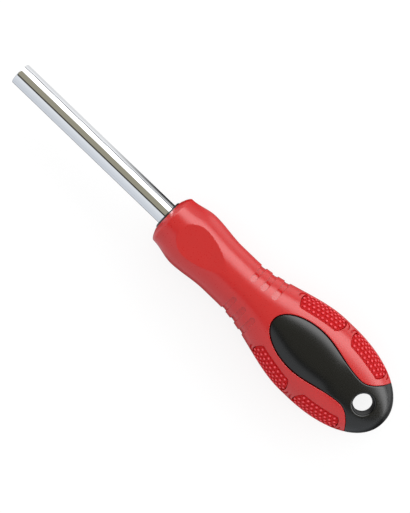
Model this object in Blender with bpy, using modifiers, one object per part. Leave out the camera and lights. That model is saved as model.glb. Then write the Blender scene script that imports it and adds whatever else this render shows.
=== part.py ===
"""A magnetic bit screwdriver, modelled as the separate pieces that it is made of.

The tool lies along the X axis with its tip at +X, and the window of the handle faces +Z.
The origin is on the tool's axis, at the face of the magnet that a bit seats on.
All lengths are in metres. Places on the handle are given as distances back from its front face.
"""

import math
from collections import namedtuple

import bmesh
import bpy
from mathutils import Matrix, Vector

MM = 0.001

# Fits between pieces
CLEARANCE = 0.3 * MM
OVERRUN = 2.0 * MM
MERGE_DISTANCE = 0.001 * MM

# Shaft, a chromed bar with two wings pressed out of it inside the handle
SHAFT_RADIUS = 4.75 * MM
SHAFT_OUTSIDE_LENGTH = 81.5 * MM
SHAFT_INSIDE_LENGTH = 62.0 * MM
TIP_ROUND = 0.4 * MM
WING_TAIL = 6.0 * MM
WING_LENGTH = 9.0 * MM
WING_COVER = 1.6 * MM
WING_SLOPE = 2.0 * MM
WING_THICKNESS = 3.0 * MM

# Hex socket for 6.35 mm bits, with a ring groove and a round pocket for the magnet
HEX_ACROSS_FLATS = 6.45 * MM
SOCKET_DEPTH = 11.0 * MM
LEAD_IN = 0.5 * MM
MAGNET_RADIUS = 2.6 * MM
MAGNET_LENGTH = 4.0 * MM
RING_WIRE_RADIUS = 0.35 * MM
RING_RADIUS = 3.5 * MM
RING_BACK_FROM_TIP = 4.0 * MM
RING_GAP_ANGLE = math.radians(40.0)

# Handle outline, seen from above the window. Places along it are shares of its length
HANDLE_LENGTH = 120.0 * MM
FACE_RADIUS = 6.9 * MM
SHOULDER_LENGTH = 3.2 * MM
SHOULDER_RADIUS = 11.3 * MM
GUARD_RADIUS = 13.1 * MM
NECK_RADIUS = 11.7 * MM
BELLY_RADIUS = 19.4 * MM
GUARD_SHARE = 0.121
NECK_FRONT_SHARE = 0.258
NECK_REAR_SHARE = 0.325
BELLY_FRONT_SHARE = 0.675
BELLY_REAR_SHARE = 0.708

# How round the shoulder and the butt's dome are, seen from above: 2 is the round of a circle
SHOULDER_POWER = 1.8
DOME_POWER = 2.15

# Handle thickness as a share of its width, and the power of its squarish oval section
BELLY_FLAT_SHARE = 0.76
BUTT_FLAT_SHARE = 0.60
NECK_POWER = 2.0
BELLY_POWER = 2.3

# Window outline: places are shares of the handle's length and widths are shares of the belly's radius
WINDOW_FRONT_SHARE = 0.498
WINDOW_WIDEST_SHARE = 0.65
WAIST_SHARE = 0.842
FLARE_LENGTH_SHARE = 0.083
WINDOW_WIDTH_SHARE = 0.51
WAIST_WIDTH_SHARE = 0.314
FLARE_RISE_SHARE = 0.381

# Core inside the sleeve
SLEEVE_WALL = 3.0 * MM
NOSE_RADIUS = 6.2 * MM
NOSE_PROUD = 0.4 * MM
NOSE_LENGTH = 3.5 * MM
CORE_BODY_REAR_SHARE = 0.942

# Hang hole through the butt, narrowest at its middle and drafted towards both faces
HANG_FROM_BUTT = 11.7 * MM
HANG_RADIUS = 3.9 * MM
HANG_DRAFT_SHARE = 0.055

# Thumb scoops
SCOOP_SHARE = 0.177
SCOOP_HALF_LENGTH = 14.0 * MM
SCOOP_DEPTH = 1.7 * MM
SCOOP_SAG = 1.3 * MM

# Finger grooves
GROOVE_FRONT_SHARE = 0.355
GROOVE_PITCH = 5.5 * MM
GROOVE_COUNT = 3
GROOVE_WIDTH = 2.4 * MM
GROOVE_DEPTH = 0.45 * MM
GROOVE_INNER_ANGLE = math.radians(22.0)

# Studded pads in their pockets
PADS_FRONT_SHARE = 0.509
PADS_REAR_SHARE = 0.903
PAD_SPACING = 3.3 * MM
PAD_POCKET_DEPTH = 1.8 * MM
PAD_FIELD_DEPTH = 0.55 * MM
POCKET_RISE = 0.6 * MM
STUD_HEIGHT = 0.6 * MM
STUD_TOP_LENGTH_SHARE = 0.5
STUD_TOP_WIDTH_SHARE = 0.3
PAD_INNER_ANGLE = math.radians(41.6)
PAD_OUTER_ANGLE = math.radians(72.0)

# Half length of each pad line, from the window side to the outer side, as shares of the longest
PAD_LINE_SHARES = (0.66, 0.91, 1.0, 1.0, 0.76)
PAD_COLUMNS = 19
POCKET_COLUMNS = 9

# Fineness of the round shapes
SKIN_STEPS = 42
CORE_STEPS = 24
BAR_STEPS = 28
STRETCH_STEPS = 4
SWELL_STEPS = 7
DOME_STEPS = 8
OUTLINE_STEPS = 8
GROOVE_STEPS = 15
SHARP_ANGLE = math.radians(35.0)
STRAIGHT_ANGLE = math.radians(2.0)

# Places on the axis that follow from the sizes
TIP_X = SOCKET_DEPTH
FACE_X = TIP_X - SHAFT_OUTSIDE_LENGTH
WING_FRONT = SHAFT_INSIDE_LENGTH - WING_TAIL - WING_LENGTH
WING_HALF_WIDTH = NECK_RADIUS - SLEEVE_WALL - WING_COVER

# Places back from the handle's front face, and widths there, that follow from the sizes
GUARD_BACK = HANDLE_LENGTH * GUARD_SHARE
NECK_FRONT = HANDLE_LENGTH * NECK_FRONT_SHARE
NECK_REAR = HANDLE_LENGTH * NECK_REAR_SHARE
BELLY_FRONT = HANDLE_LENGTH * BELLY_FRONT_SHARE
BELLY_REAR = HANDLE_LENGTH * BELLY_REAR_SHARE
WINDOW_FRONT = HANDLE_LENGTH * WINDOW_FRONT_SHARE
WINDOW_WIDEST = HANDLE_LENGTH * WINDOW_WIDEST_SHARE
WAIST_BACK = HANDLE_LENGTH * WAIST_SHARE
FLARE_LENGTH = HANDLE_LENGTH * FLARE_LENGTH_SHARE
WINDOW_HALF_WIDTH = BELLY_RADIUS * WINDOW_WIDTH_SHARE
WAIST_HALF_WIDTH = BELLY_RADIUS * WAIST_WIDTH_SHARE
FLARE_RISE = BELLY_RADIUS * FLARE_RISE_SHARE
CORE_BODY_REAR = HANDLE_LENGTH * CORE_BODY_REAR_SHARE
HANG_BACK = HANDLE_LENGTH - HANG_FROM_BUTT
SCOOP_BACK = HANDLE_LENGTH * SCOOP_SHARE
GROOVE_FRONT = HANDLE_LENGTH * GROOVE_FRONT_SHARE
PADS_FRONT = HANDLE_LENGTH * PADS_FRONT_SHARE
PADS_REAR = HANDLE_LENGTH * PADS_REAR_SHARE
PAD_HALF_LENGTH = (PADS_REAR - PADS_FRONT - PAD_SPACING) / 4.0
PAD_BACKS = {"front": PADS_FRONT + PAD_HALF_LENGTH, "rear": PADS_REAR - PAD_HALF_LENGTH}

Finish = namedtuple("Finish", "colour roughness metallic")
CHROME = Finish((0.80, 0.80, 0.82), 0.12, 1.0)
SPRING_STEEL = Finish((0.35, 0.35, 0.37), 0.35, 1.0)
MAGNET_NICKEL = Finish((0.62, 0.60, 0.56), 0.25, 1.0)
BLACK_PLASTIC = Finish((0.018, 0.019, 0.020), 0.38, 0.0)
RED_GRIP = Finish((0.60, 0.035, 0.03), 0.55, 0.0)
DEEP_RED_GRIP = Finish((0.48, 0.008, 0.012), 0.42, 0.0)

PARTS = "magnetic_bit_screwdriver"
CUTTERS = "cutters"


def clear_scene():
    """Remove what the scene holds and make the two collections."""
    for thing in list(bpy.data.objects):
        bpy.data.objects.remove(thing, do_unlink=True)
    for name in (PARTS, CUTTERS):
        collection = bpy.data.collections.new(name)
        bpy.context.scene.collection.children.link(collection)


def eased(start, end, share):
    """Return the value a share of the way along an S-shaped change."""
    share = min(max(share, 0.0), 1.0)
    return start + (end - start) * share * share * (3.0 - 2.0 * share)


def half_width(back):
    """Return the handle's half width at a distance back from its front face."""
    if back <= SHOULDER_LENGTH:
        left = max(1.0 - back / SHOULDER_LENGTH, 0.0)
        return FACE_RADIUS + (SHOULDER_RADIUS - FACE_RADIUS) * (1.0 - left ** SHOULDER_POWER)
    if back <= GUARD_BACK:
        return eased(SHOULDER_RADIUS, GUARD_RADIUS, (back - SHOULDER_LENGTH) / (GUARD_BACK - SHOULDER_LENGTH))
    if back <= NECK_FRONT:
        return eased(GUARD_RADIUS, NECK_RADIUS, (back - GUARD_BACK) / (NECK_FRONT - GUARD_BACK))
    if back <= BELLY_REAR:
        return eased(NECK_RADIUS, BELLY_RADIUS, (back - NECK_REAR) / (BELLY_FRONT - NECK_REAR))
    gone = min((back - BELLY_REAR) / (HANDLE_LENGTH - BELLY_REAR), 1.0)
    return BELLY_RADIUS * (1.0 - gone ** DOME_POWER) ** (1.0 / DOME_POWER)


def half_thickness(back):
    """Return the handle's half thickness, which is its half width in front of the belly."""
    swell = (back - NECK_REAR) / (BELLY_FRONT - NECK_REAR)
    fall = (back - BELLY_FRONT) / (HANDLE_LENGTH - BELLY_FRONT)
    share = eased(1.0, BELLY_FLAT_SHARE, swell) + eased(0.0, BUTT_FLAT_SHARE - BELLY_FLAT_SHARE, fall)
    return half_width(back) * share


def skin_point(back, angle, depth):
    """Return a point under the handle's skin, at an angle turned from +Z towards +Y."""
    across = math.sin(angle)
    up = math.cos(angle)
    power = eased(NECK_POWER, BELLY_POWER, (back - NECK_REAR) / (BELLY_FRONT - NECK_REAR))
    reach = (abs(across) ** power + abs(up) ** power) ** (-1.0 / power)
    y = (half_width(back) - depth) * across * reach
    z = (half_thickness(back) - depth) * up * reach
    return Vector((FACE_X - back, y, z))


def stretch(start, end, steps):
    """Return distances at even steps from a start up to an end, without the end."""
    return [start + (end - start) * step / steps for step in range(steps)]


def handle_stations():
    """Return the distances back at which the handle's skin has a ring of corners."""
    quarter = math.pi / 2.0
    shoulder = [SHOULDER_LENGTH * (1.0 - math.cos(turn)) for turn in stretch(0.0, quarter, STRETCH_STEPS)]
    dome_length = HANDLE_LENGTH - BELLY_REAR
    dome = [BELLY_REAR + dome_length * math.sin(turn) for turn in stretch(0.0, quarter, DOME_STEPS)]
    return (shoulder
            + stretch(SHOULDER_LENGTH, GUARD_BACK, STRETCH_STEPS)
            + stretch(GUARD_BACK, NECK_FRONT, STRETCH_STEPS)
            + stretch(NECK_FRONT, NECK_REAR, 1)
            + stretch(NECK_REAR, BELLY_FRONT, SWELL_STEPS)
            + stretch(BELLY_FRONT, BELLY_REAR, 1)
            + dome)


def add_piece(name, mesh, collection):
    """Put a mesh in a collection as an object, and hide it from renders if it is a cutter."""
    piece = bpy.data.objects.new(name, mesh)
    bpy.data.collections[collection].objects.link(piece)
    if collection == CUTTERS:
        piece.hide_render = True
        piece.display_type = "WIRE"
    return piece


def bake(piece):
    """Turn an object's modifiers into plain mesh."""
    depsgraph = bpy.context.evaluated_depsgraph_get()
    mesh = bpy.data.meshes.new_from_object(piece.evaluated_get(depsgraph))
    piece.modifiers.clear()
    piece.data = mesh
    return piece


def turned(name, profile, steps, collection):
    """Turn a profile of (x, radius) points about the X axis. It starts and ends on the axis."""
    shape = bmesh.new()
    points = [shape.verts.new((x, radius, 0.0)) for x, radius in profile]
    for first, second in zip(points, points[1:]):
        shape.edges.new((first, second))
    mesh = bpy.data.meshes.new(name)
    shape.to_mesh(mesh)
    shape.free()
    piece = add_piece(name, mesh, collection)
    screw = piece.modifiers.new("Turn", "SCREW")
    screw.axis = "X"
    screw.steps = steps
    screw.render_steps = steps
    screw.use_merge_vertices = True
    screw.merge_threshold = MERGE_DISTANCE
    return bake(piece)


def prism(name, outline, thickness, collection):
    """Make a solid of an outline of (x, y) points, centred on the plane of the outline."""
    curve = bpy.data.curves.new(name, "CURVE")
    curve.dimensions = "2D"
    curve.fill_mode = "BOTH"
    curve.extrude = thickness / 2.0
    spline = curve.splines.new("POLY")
    spline.points.add(len(outline) - 1)
    for point, (x, y) in zip(spline.points, outline):
        point.co = (x, y, 0.0, 1.0)
    spline.use_cyclic_u = True
    holder = bpy.data.objects.new(name, curve)
    bpy.context.scene.collection.objects.link(holder)
    depsgraph = bpy.context.evaluated_depsgraph_get()
    mesh = bpy.data.meshes.new_from_object(holder.evaluated_get(depsgraph))
    bpy.data.objects.remove(holder, do_unlink=True)
    shape = bmesh.new()
    shape.from_mesh(mesh)
    bmesh.ops.remove_doubles(shape, verts=shape.verts, dist=MERGE_DISTANCE)
    shape.to_mesh(mesh)
    shape.free()
    return add_piece(name, mesh, collection)


def combine(piece, other, operation):
    """Cut, join or trim a piece with another object."""
    boolean = piece.modifiers.new(other.name, "BOOLEAN")
    boolean.operation = operation
    boolean.object = other
    boolean.solver = "EXACT"


def drop_idle_corners(mesh):
    """Drop the corners that cuts leave along a straight edge where only two faces meet."""
    shape = bmesh.new()
    shape.from_mesh(mesh)
    idle = [corner for corner in shape.verts
            if len(corner.link_edges) == 2 and corner.calc_edge_angle(math.pi) < STRAIGHT_ANGLE]
    bmesh.ops.dissolve_verts(shape, verts=idle)
    shape.to_mesh(mesh)
    shape.free()


def finish(piece, name, look):
    """Give a piece its material and smooth its round faces."""
    material = bpy.data.materials.get(name)
    if material is None:
        material = bpy.data.materials.new(name)
        material.use_nodes = True
        shader = material.node_tree.nodes["Principled BSDF"]
        shader.inputs["Base Color"].default_value = (*look.colour, 1.0)
        shader.inputs["Roughness"].default_value = look.roughness
        shader.inputs["Metallic"].default_value = look.metallic
    bake(piece)
    drop_idle_corners(piece.data)
    piece.data.materials.clear()
    piece.data.materials.append(material)
    piece.data.shade_smooth()
    piece.data.set_sharp_from_angle(angle=SHARP_ANGLE)
    return piece


def handle_skin(name, depth, collection):
    """Make the whole handle as one solid, shrunk by a depth under its skin."""
    stations = handle_stations()
    profile = [(FACE_X, 0.0)]
    profile += [(FACE_X - back, half_width(back) - depth) for back in stations]
    profile.append((FACE_X - HANDLE_LENGTH, 0.0))
    piece = turned(name, profile, SKIN_STEPS, collection)
    for corner in piece.data.vertices:
        back = FACE_X - corner.co.x
        if math.hypot(corner.co.y, corner.co.z) > MERGE_DISTANCE:
            corner.co = skin_point(back, math.atan2(corner.co.y, corner.co.z), depth)
    return piece


def core_body(name, growth, collection):
    """Make the part of the core that the sleeve covers, grown all round by a clearance."""
    step = NOSE_LENGTH - growth
    backs = [step] + [back for back in handle_stations()[::2] if step < back < CORE_BODY_REAR]
    backs.append(CORE_BODY_REAR)
    depth = SLEEVE_WALL - growth
    nose = NOSE_RADIUS + growth
    front = FACE_X + NOSE_PROUD + (OVERRUN if growth else 0.0)
    profile = [(front, 0.0), (front, nose), (FACE_X - step, nose)]
    profile += [(FACE_X - back, half_width(back) - depth) for back in backs]
    profile.append((FACE_X - CORE_BODY_REAR, 0.0))
    piece = turned(name, profile, CORE_STEPS, collection)
    # The half step keeps the lines of the core off the lines of the skin
    piece.data.transform(Matrix.Rotation(math.pi / CORE_STEPS, 4, "X"))
    for corner in piece.data.vertices:
        back = FACE_X - corner.co.x
        radius = math.hypot(corner.co.y, corner.co.z)
        if radius > nose + MERGE_DISTANCE:
            corner.co = skin_point(back, math.atan2(corner.co.y, corner.co.z), depth)
    return piece


def window_half_outline():
    """Return one side of the window and butt as (distance back, half width), front to rear."""
    nose = [(WINDOW_WIDEST - (WINDOW_WIDEST - WINDOW_FRONT) * math.cos(turn),
             WINDOW_HALF_WIDTH * math.sin(turn))
            for turn in stretch(0.0, math.pi / 2.0, OUTLINE_STEPS)]
    taper = [(back, eased(WINDOW_HALF_WIDTH, WAIST_HALF_WIDTH,
                          (back - WINDOW_WIDEST) / (WAIST_BACK - WINDOW_WIDEST)))
             for back in stretch(WINDOW_WIDEST, WAIST_BACK, OUTLINE_STEPS)]
    out = math.sqrt((BELLY_RADIUS - WAIST_HALF_WIDTH) / FLARE_RISE)
    flare = [(WAIST_BACK + FLARE_LENGTH * along, WAIST_HALF_WIDTH + FLARE_RISE * along * along)
             for along in stretch(0.0, out, OUTLINE_STEPS) + [out]]
    return nose + taper + flare


def window_outline(growth):
    """Return the whole window and butt outline as (x, y) points, grown by a clearance."""
    side = window_half_outline()
    grown = []
    for index, (back, half) in enumerate(side):
        before = side[index - 1] if index else (side[1][0], -side[1][1])
        after = side[min(index + 1, len(side) - 1)]
        along = Vector((after[0] - before[0], after[1] - before[1])).normalized()
        grown.append((back - along.y * growth, half + along.x * growth))
    grown[0] = (side[0][0] - growth, 0.0)
    rear = HANDLE_LENGTH + OVERRUN
    grown.append((rear, grown[-1][1]))
    right = [(FACE_X - back, -half) for back, half in grown]
    left = [(FACE_X - back, half) for back, half in reversed(grown[1:])]
    return right + left


def hang_cutter():
    """Make the cutter for the hang hole, which stands across the butt and widens both ways."""
    mouth = HANG_RADIUS + BELLY_RADIUS * HANG_DRAFT_SHARE
    profile = [(BELLY_RADIUS, 0.0), (BELLY_RADIUS, mouth), (0.0, HANG_RADIUS),
               (-BELLY_RADIUS, mouth), (-BELLY_RADIUS, 0.0)]
    cutter = turned("hang_cutter", profile, BAR_STEPS, CUTTERS)
    stand = Matrix.Rotation(math.pi / 2.0, 4, "Y")
    cutter.data.transform(Matrix.Translation((FACE_X - HANG_BACK, 0.0, 0.0)) @ stand)
    return cutter


def shaft_form(name, growth, collection):
    """Make the shaft's outer form with its wings, grown all round by a clearance."""
    radius = SHAFT_RADIUS + growth
    rear = FACE_X - SHAFT_INSIDE_LENGTH - growth
    front = TIP_X - TIP_ROUND
    profile = [(TIP_X, 0.0), (TIP_X, radius - TIP_ROUND)]
    profile += [(front + TIP_ROUND * math.cos(turn), radius - TIP_ROUND + TIP_ROUND * math.sin(turn))
                for turn in stretch(0.0, math.pi / 2.0, STRETCH_STEPS)[1:]]
    profile += [(front, radius), (rear, radius), (rear, 0.0)]
    bar = turned(name, profile, BAR_STEPS, collection)
    start = FACE_X - WING_FRONT + growth
    end = start - WING_LENGTH - 2.0 * growth
    half = WING_HALF_WIDTH + growth
    root = SHAFT_RADIUS / 2.0
    outline = [(start, root), (start - WING_SLOPE, half), (end + WING_SLOPE, half), (end, root),
               (end, -root), (end + WING_SLOPE, -half), (start - WING_SLOPE, -half), (start, -root)]
    wings = prism(name + "_wings", outline, WING_THICKNESS + 2.0 * growth, CUTTERS)
    combine(bar, wings, "UNION")
    return bar


def cone(name, x_front, x_rear, radius_front, radius_rear, sides):
    """Make a cutter that is a cylinder, cone or hexagonal bar along X."""
    shape = bmesh.new()
    bmesh.ops.create_cone(shape, cap_ends=True, segments=sides, radius1=radius_rear,
                          radius2=radius_front, depth=x_front - x_rear)
    mesh = bpy.data.meshes.new(name)
    shape.to_mesh(mesh)
    shape.free()
    middle = Matrix.Translation(((x_front + x_rear) / 2.0, 0.0, 0.0))
    mesh.transform(middle @ Matrix.Rotation(math.pi / 2.0, 4, "Y"))
    return add_piece(name, mesh, CUTTERS)


def make_shaft():
    """Make the bar, broach its hex socket and bore the ring groove and the magnet's pocket."""
    shaft = shaft_form("shaft", 0.0, PARTS)
    hex_radius = HEX_ACROSS_FLATS / math.sqrt(3.0)
    mouth_radius = hex_radius + LEAD_IN / 2.0
    combine(shaft, cone("hex_cutter", TIP_X + OVERRUN, 0.0, hex_radius, hex_radius, 6), "DIFFERENCE")
    flare = mouth_radius + OVERRUN
    combine(shaft, cone("lead_in_cutter", TIP_X + OVERRUN, TIP_X + OVERRUN - flare, flare, 0.0, BAR_STEPS),
            "DIFFERENCE")
    groove = RING_RADIUS + RING_WIRE_RADIUS + CLEARANCE
    ring_x = TIP_X - RING_BACK_FROM_TIP
    reach = RING_WIRE_RADIUS + CLEARANCE
    combine(shaft, cone("ring_groove_cutter", ring_x + reach, ring_x - reach, groove, groove, BAR_STEPS),
            "DIFFERENCE")
    pocket = MAGNET_RADIUS + CLEARANCE
    combine(shaft, cone("magnet_pocket_cutter", SOCKET_DEPTH / 2.0, -MAGNET_LENGTH - CLEARANCE,
                        pocket, pocket, BAR_STEPS), "DIFFERENCE")
    return finish(shaft, "chromed_steel", CHROME)


def make_magnet():
    """Make the round magnet whose front face the bit seats on."""
    profile = [(0.0, 0.0), (0.0, MAGNET_RADIUS), (-MAGNET_LENGTH, MAGNET_RADIUS), (-MAGNET_LENGTH, 0.0)]
    return finish(turned("bit_magnet", profile, BAR_STEPS, PARTS), "nickel_plated_magnet", MAGNET_NICKEL)


def make_retaining_ring():
    """Make the open spring ring that snaps into the notches of a bit."""
    curve = bpy.data.curves.new("bit_retaining_ring", "CURVE")
    curve.dimensions = "3D"
    curve.bevel_depth = RING_WIRE_RADIUS
    curve.bevel_resolution = 1
    curve.use_fill_caps = True
    spline = curve.splines.new("POLY")
    spline.points.add(BAR_STEPS - 1)
    x = TIP_X - RING_BACK_FROM_TIP
    sweep = 2.0 * math.pi - RING_GAP_ANGLE
    for index, point in enumerate(spline.points):
        turn = RING_GAP_ANGLE / 2.0 + sweep * index / (BAR_STEPS - 1)
        point.co = (x, RING_RADIUS * math.sin(turn), RING_RADIUS * math.cos(turn), 1.0)
    holder = bpy.data.objects.new("ring_wire", curve)
    bpy.context.scene.collection.objects.link(holder)
    depsgraph = bpy.context.evaluated_depsgraph_get()
    mesh = bpy.data.meshes.new_from_object(holder.evaluated_get(depsgraph))
    bpy.data.objects.remove(holder, do_unlink=True)
    shape = bmesh.new()
    shape.from_mesh(mesh)
    bmesh.ops.remove_doubles(shape, verts=shape.verts, dist=MERGE_DISTANCE)
    shape.to_mesh(mesh)
    shape.free()
    ring = add_piece("bit_retaining_ring", mesh, PARTS)
    return finish(ring, "spring_steel", SPRING_STEEL)


def make_core():
    """Make the hard black moulding: nose, body under the sleeve, both windows and the butt."""
    core = handle_skin("handle_core", 0.0, PARTS)
    combine(core, prism("window_trimmer", window_outline(0.0), 4.0 * BELLY_RADIUS, CUTTERS), "INTERSECT")
    combine(core, core_body("core_body", 0.0, CUTTERS), "UNION")
    combine(core, hang_cutter(), "DIFFERENCE")
    combine(core, shaft_form("shaft_bore_cutter", CLEARANCE, CUTTERS), "DIFFERENCE")
    return finish(core, "black_plastic", BLACK_PLASTIC)


def scoop_cutter(name, face):
    """Make the cutter for a thumb scoop: a bar with a gently bowed underside across the handle."""
    floor = half_width(SCOOP_BACK) - SCOOP_DEPTH
    arc = []
    for along in stretch(-1.0, 1.0, OUTLINE_STEPS) + [1.0]:
        height = floor + SCOOP_SAG * along * along
        arc.append((FACE_X - SCOOP_BACK + SCOOP_HALF_LENGTH * along, height))
    top = GUARD_RADIUS + OVERRUN
    outline = arc + [(arc[-1][0], top), (arc[0][0], top)]
    cutter = prism(name, outline, 4.0 * GUARD_RADIUS, CUTTERS)
    cutter.data.transform(Matrix.Rotation(face * math.pi / 2.0, 4, "X"))
    return cutter


def slab(columns, rows):
    """Return a unit slab as a bmesh: a grid of cells at height 1, closed down to height 0."""
    shape = bmesh.new()
    bmesh.ops.create_grid(shape, x_segments=columns, y_segments=rows, size=1.0)
    raised = bmesh.ops.extrude_face_region(shape, geom=shape.faces[:])
    for corner in raised["geom"]:
        if isinstance(corner, bmesh.types.BMVert):
            corner.co.z = 1.0
    return shape


def bend_to_skin(shape, place):
    """Move each corner of a unit slab to its place under the skin, and turn the faces outward."""
    for corner in shape.verts:
        corner.co = place(corner.co.x, corner.co.y, corner.co.z)
    bmesh.ops.recalc_face_normals(shape, faces=shape.faces)
    if shape.calc_volume(signed=True) < 0.0:
        bmesh.ops.reverse_faces(shape, faces=shape.faces)


def shape_to_piece(shape, name, collection):
    """Turn a bmesh into an object."""
    mesh = bpy.data.meshes.new(name)
    shape.to_mesh(mesh)
    shape.free()
    return add_piece(name, mesh, collection)


def groove_cutter(name, back, side):
    """Make the cutter for one finger groove, which wraps round one side with rounded ends."""
    half = GROOVE_WIDTH / 2.0
    half_sweep = math.pi / 2.0 - GROOVE_INNER_ANGLE
    end_angle = half / half_width(back)

    def place(u, v, level):
        along = math.sin(v * math.pi / 2.0)
        near_end = max(abs(along) * half_sweep - (half_sweep - end_angle), 0.0) / end_angle
        narrowed = half * math.sqrt(max(1.0 - near_end * near_end, 0.0))
        angle = side * (math.pi / 2.0 + along * half_sweep)
        depth = -POCKET_RISE if level else GROOVE_DEPTH
        return skin_point(back + u * narrowed, angle, depth)

    shape = slab(1, GROOVE_STEPS)
    bend_to_skin(shape, place)
    bmesh.ops.remove_doubles(shape, verts=shape.verts, dist=MERGE_DISTANCE)
    return shape_to_piece(shape, name, CUTTERS)


def pad_place(back, side, face, growth, depths):
    """Return the rule that places a corner of a unit slab on the pad whose middle is given."""
    rows = len(PAD_LINE_SHARES) - 1

    def place(u, v, level):
        line = round((v + 1.0) / 2.0 * rows, 3)
        lower = min(int(line), rows - 1)
        share = PAD_LINE_SHARES[lower] + (PAD_LINE_SHARES[lower + 1] - PAD_LINE_SHARES[lower]) * (line - lower)
        sweep = PAD_OUTER_ANGLE - PAD_INNER_ANGLE
        edge = (line == rows) - (line == 0)
        angle = PAD_INNER_ANGLE + sweep * line / rows + edge * growth / half_width(back)
        here = back + u * (PAD_HALF_LENGTH * share + growth)
        point = skin_point(here, angle, depths[round(level)])
        return Vector((point.x, side * point.y, face * point.z))

    return place


def pocket_cutter(name, back, side, face):
    """Make the cutter for the pocket that a pad sits in."""
    shape = slab(POCKET_COLUMNS, len(PAD_LINE_SHARES) - 1)
    bend_to_skin(shape, pad_place(back, side, face, CLEARANCE, (PAD_POCKET_DEPTH, -POCKET_RISE)))
    return shape_to_piece(shape, name, CUTTERS)


def make_pad(name, back, side, face):
    """Make a pad that fills its pocket, with studs on every other cell of its field."""
    rows = len(PAD_LINE_SHARES) - 1
    shape = slab(PAD_COLUMNS, rows)
    studs = []
    for cell in shape.faces:
        centre = cell.calc_center_median()
        column = int((centre.x + 1.0) / 2.0 * PAD_COLUMNS)
        row = int((centre.y + 1.0) / 2.0 * rows)
        if centre.z == 1.0 and (column + row) % 2:
            studs.append(cell)
    raised = bmesh.ops.extrude_discrete_faces(shape, faces=studs)
    for cell in raised["faces"]:
        centre = cell.calc_center_median()
        for corner in cell.verts:
            corner.co.x = centre.x + (corner.co.x - centre.x) * STUD_TOP_LENGTH_SHARE
            corner.co.y = centre.y + (corner.co.y - centre.y) * STUD_TOP_WIDTH_SHARE
            corner.co.z = 2.0
    bottom = PAD_POCKET_DEPTH - CLEARANCE
    depths = (bottom, PAD_FIELD_DEPTH, PAD_FIELD_DEPTH - STUD_HEIGHT)
    bend_to_skin(shape, pad_place(back, side, face, 0.0, depths))
    return finish(shape_to_piece(shape, name, PARTS), "deep_red_rubber", DEEP_RED_GRIP)


def make_sleeve():
    """Make the soft skin: the handle's form less the core, scoops, grooves and pad pockets."""
    sleeve = handle_skin("grip_sleeve", 0.0, PARTS)
    combine(sleeve, core_body("core_space_cutter", CLEARANCE, CUTTERS), "DIFFERENCE")
    combine(sleeve, prism("window_cutter", window_outline(CLEARANCE), 4.0 * BELLY_RADIUS, CUTTERS),
            "DIFFERENCE")
    for face_name, face in (("top", 1), ("bottom", -1)):
        combine(sleeve, scoop_cutter("scoop_cutter_" + face_name, face), "DIFFERENCE")
    for side_name, side in (("left", 1), ("right", -1)):
        for index in range(GROOVE_COUNT):
            name = "groove_cutter_{}_{}".format(side_name, index + 1)
            combine(sleeve, groove_cutter(name, GROOVE_FRONT + index * GROOVE_PITCH, side), "DIFFERENCE")
    for name, back, side, face in pad_places():
        combine(sleeve, pocket_cutter("pocket_cutter_" + name, back, side, face), "DIFFERENCE")
    return finish(sleeve, "red_rubber", RED_GRIP)


def pad_places():
    """Yield the name, distance back, side and face of each of the eight pads."""
    for end, back in PAD_BACKS.items():
        for side_name, side in (("left", 1), ("right", -1)):
            for face_name, face in (("top", 1), ("bottom", -1)):
                yield "_".join((end, side_name, face_name)), back, side, face


def main():
    """Build the whole tool."""
    clear_scene()
    make_shaft()
    make_magnet()
    make_retaining_ring()
    make_core()
    make_sleeve()
    for name, back, side, face in pad_places():
        make_pad("grip_pad_" + name, back, side, face)


main()
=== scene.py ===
import logging
import math
from contextlib import contextmanager
from dataclasses import dataclass
from enum import Enum
from typing import Any, Callable, Iterator, Sequence

import bpy
import numpy as np
from mathutils import Matrix, Vector


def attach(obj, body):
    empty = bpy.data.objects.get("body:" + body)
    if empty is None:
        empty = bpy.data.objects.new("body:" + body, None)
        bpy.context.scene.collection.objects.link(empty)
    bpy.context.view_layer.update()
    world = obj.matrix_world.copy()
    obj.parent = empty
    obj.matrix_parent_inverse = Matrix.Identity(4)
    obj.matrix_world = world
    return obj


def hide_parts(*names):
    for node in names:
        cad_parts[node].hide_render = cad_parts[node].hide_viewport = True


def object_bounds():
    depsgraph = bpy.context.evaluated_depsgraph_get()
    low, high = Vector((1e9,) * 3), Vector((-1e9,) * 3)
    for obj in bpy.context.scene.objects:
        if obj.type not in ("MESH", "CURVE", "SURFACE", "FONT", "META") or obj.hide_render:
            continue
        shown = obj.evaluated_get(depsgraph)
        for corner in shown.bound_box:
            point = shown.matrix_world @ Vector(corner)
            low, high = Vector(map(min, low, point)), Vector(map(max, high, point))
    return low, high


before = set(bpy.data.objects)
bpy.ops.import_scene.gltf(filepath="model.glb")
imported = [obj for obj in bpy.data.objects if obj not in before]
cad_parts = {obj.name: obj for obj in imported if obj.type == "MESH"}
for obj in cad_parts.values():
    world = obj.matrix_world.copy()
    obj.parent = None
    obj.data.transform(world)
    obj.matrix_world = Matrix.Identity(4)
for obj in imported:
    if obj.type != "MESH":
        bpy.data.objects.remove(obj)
CAD_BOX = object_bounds()

LOG = logging.getLogger("screwdriver")
MM = 0.001
DEGREE = math.radians(1.0)
QUARTER = math.pi / 2.0
MERGE = 0.0005 * MM
# Corners round a turned piece, and round the rims that show most
ROUND_SIDES = 72
FINE_SIDES = 96
NEARLY_ALL = 1.0 - 1e-9
# Nearly all of a noise pattern's values lie between these
NOISE_RANGE = (0.3, 0.7)
# Mesh attributes that the finishes read
RELIEF = "stud_height"
POLISH = "polished"

Piece = bpy.types.Object
Tree = bpy.types.NodeTree
Socket = bpy.types.NodeSocket
# A rule gives each corner (u, v, level) of a unit slab its place
Rule = Callable[[float, float, float], Vector]
FaceTest = Callable[[bpy.types.MeshPolygon], bool]
Pairs = Sequence[tuple[float, float]]


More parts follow.
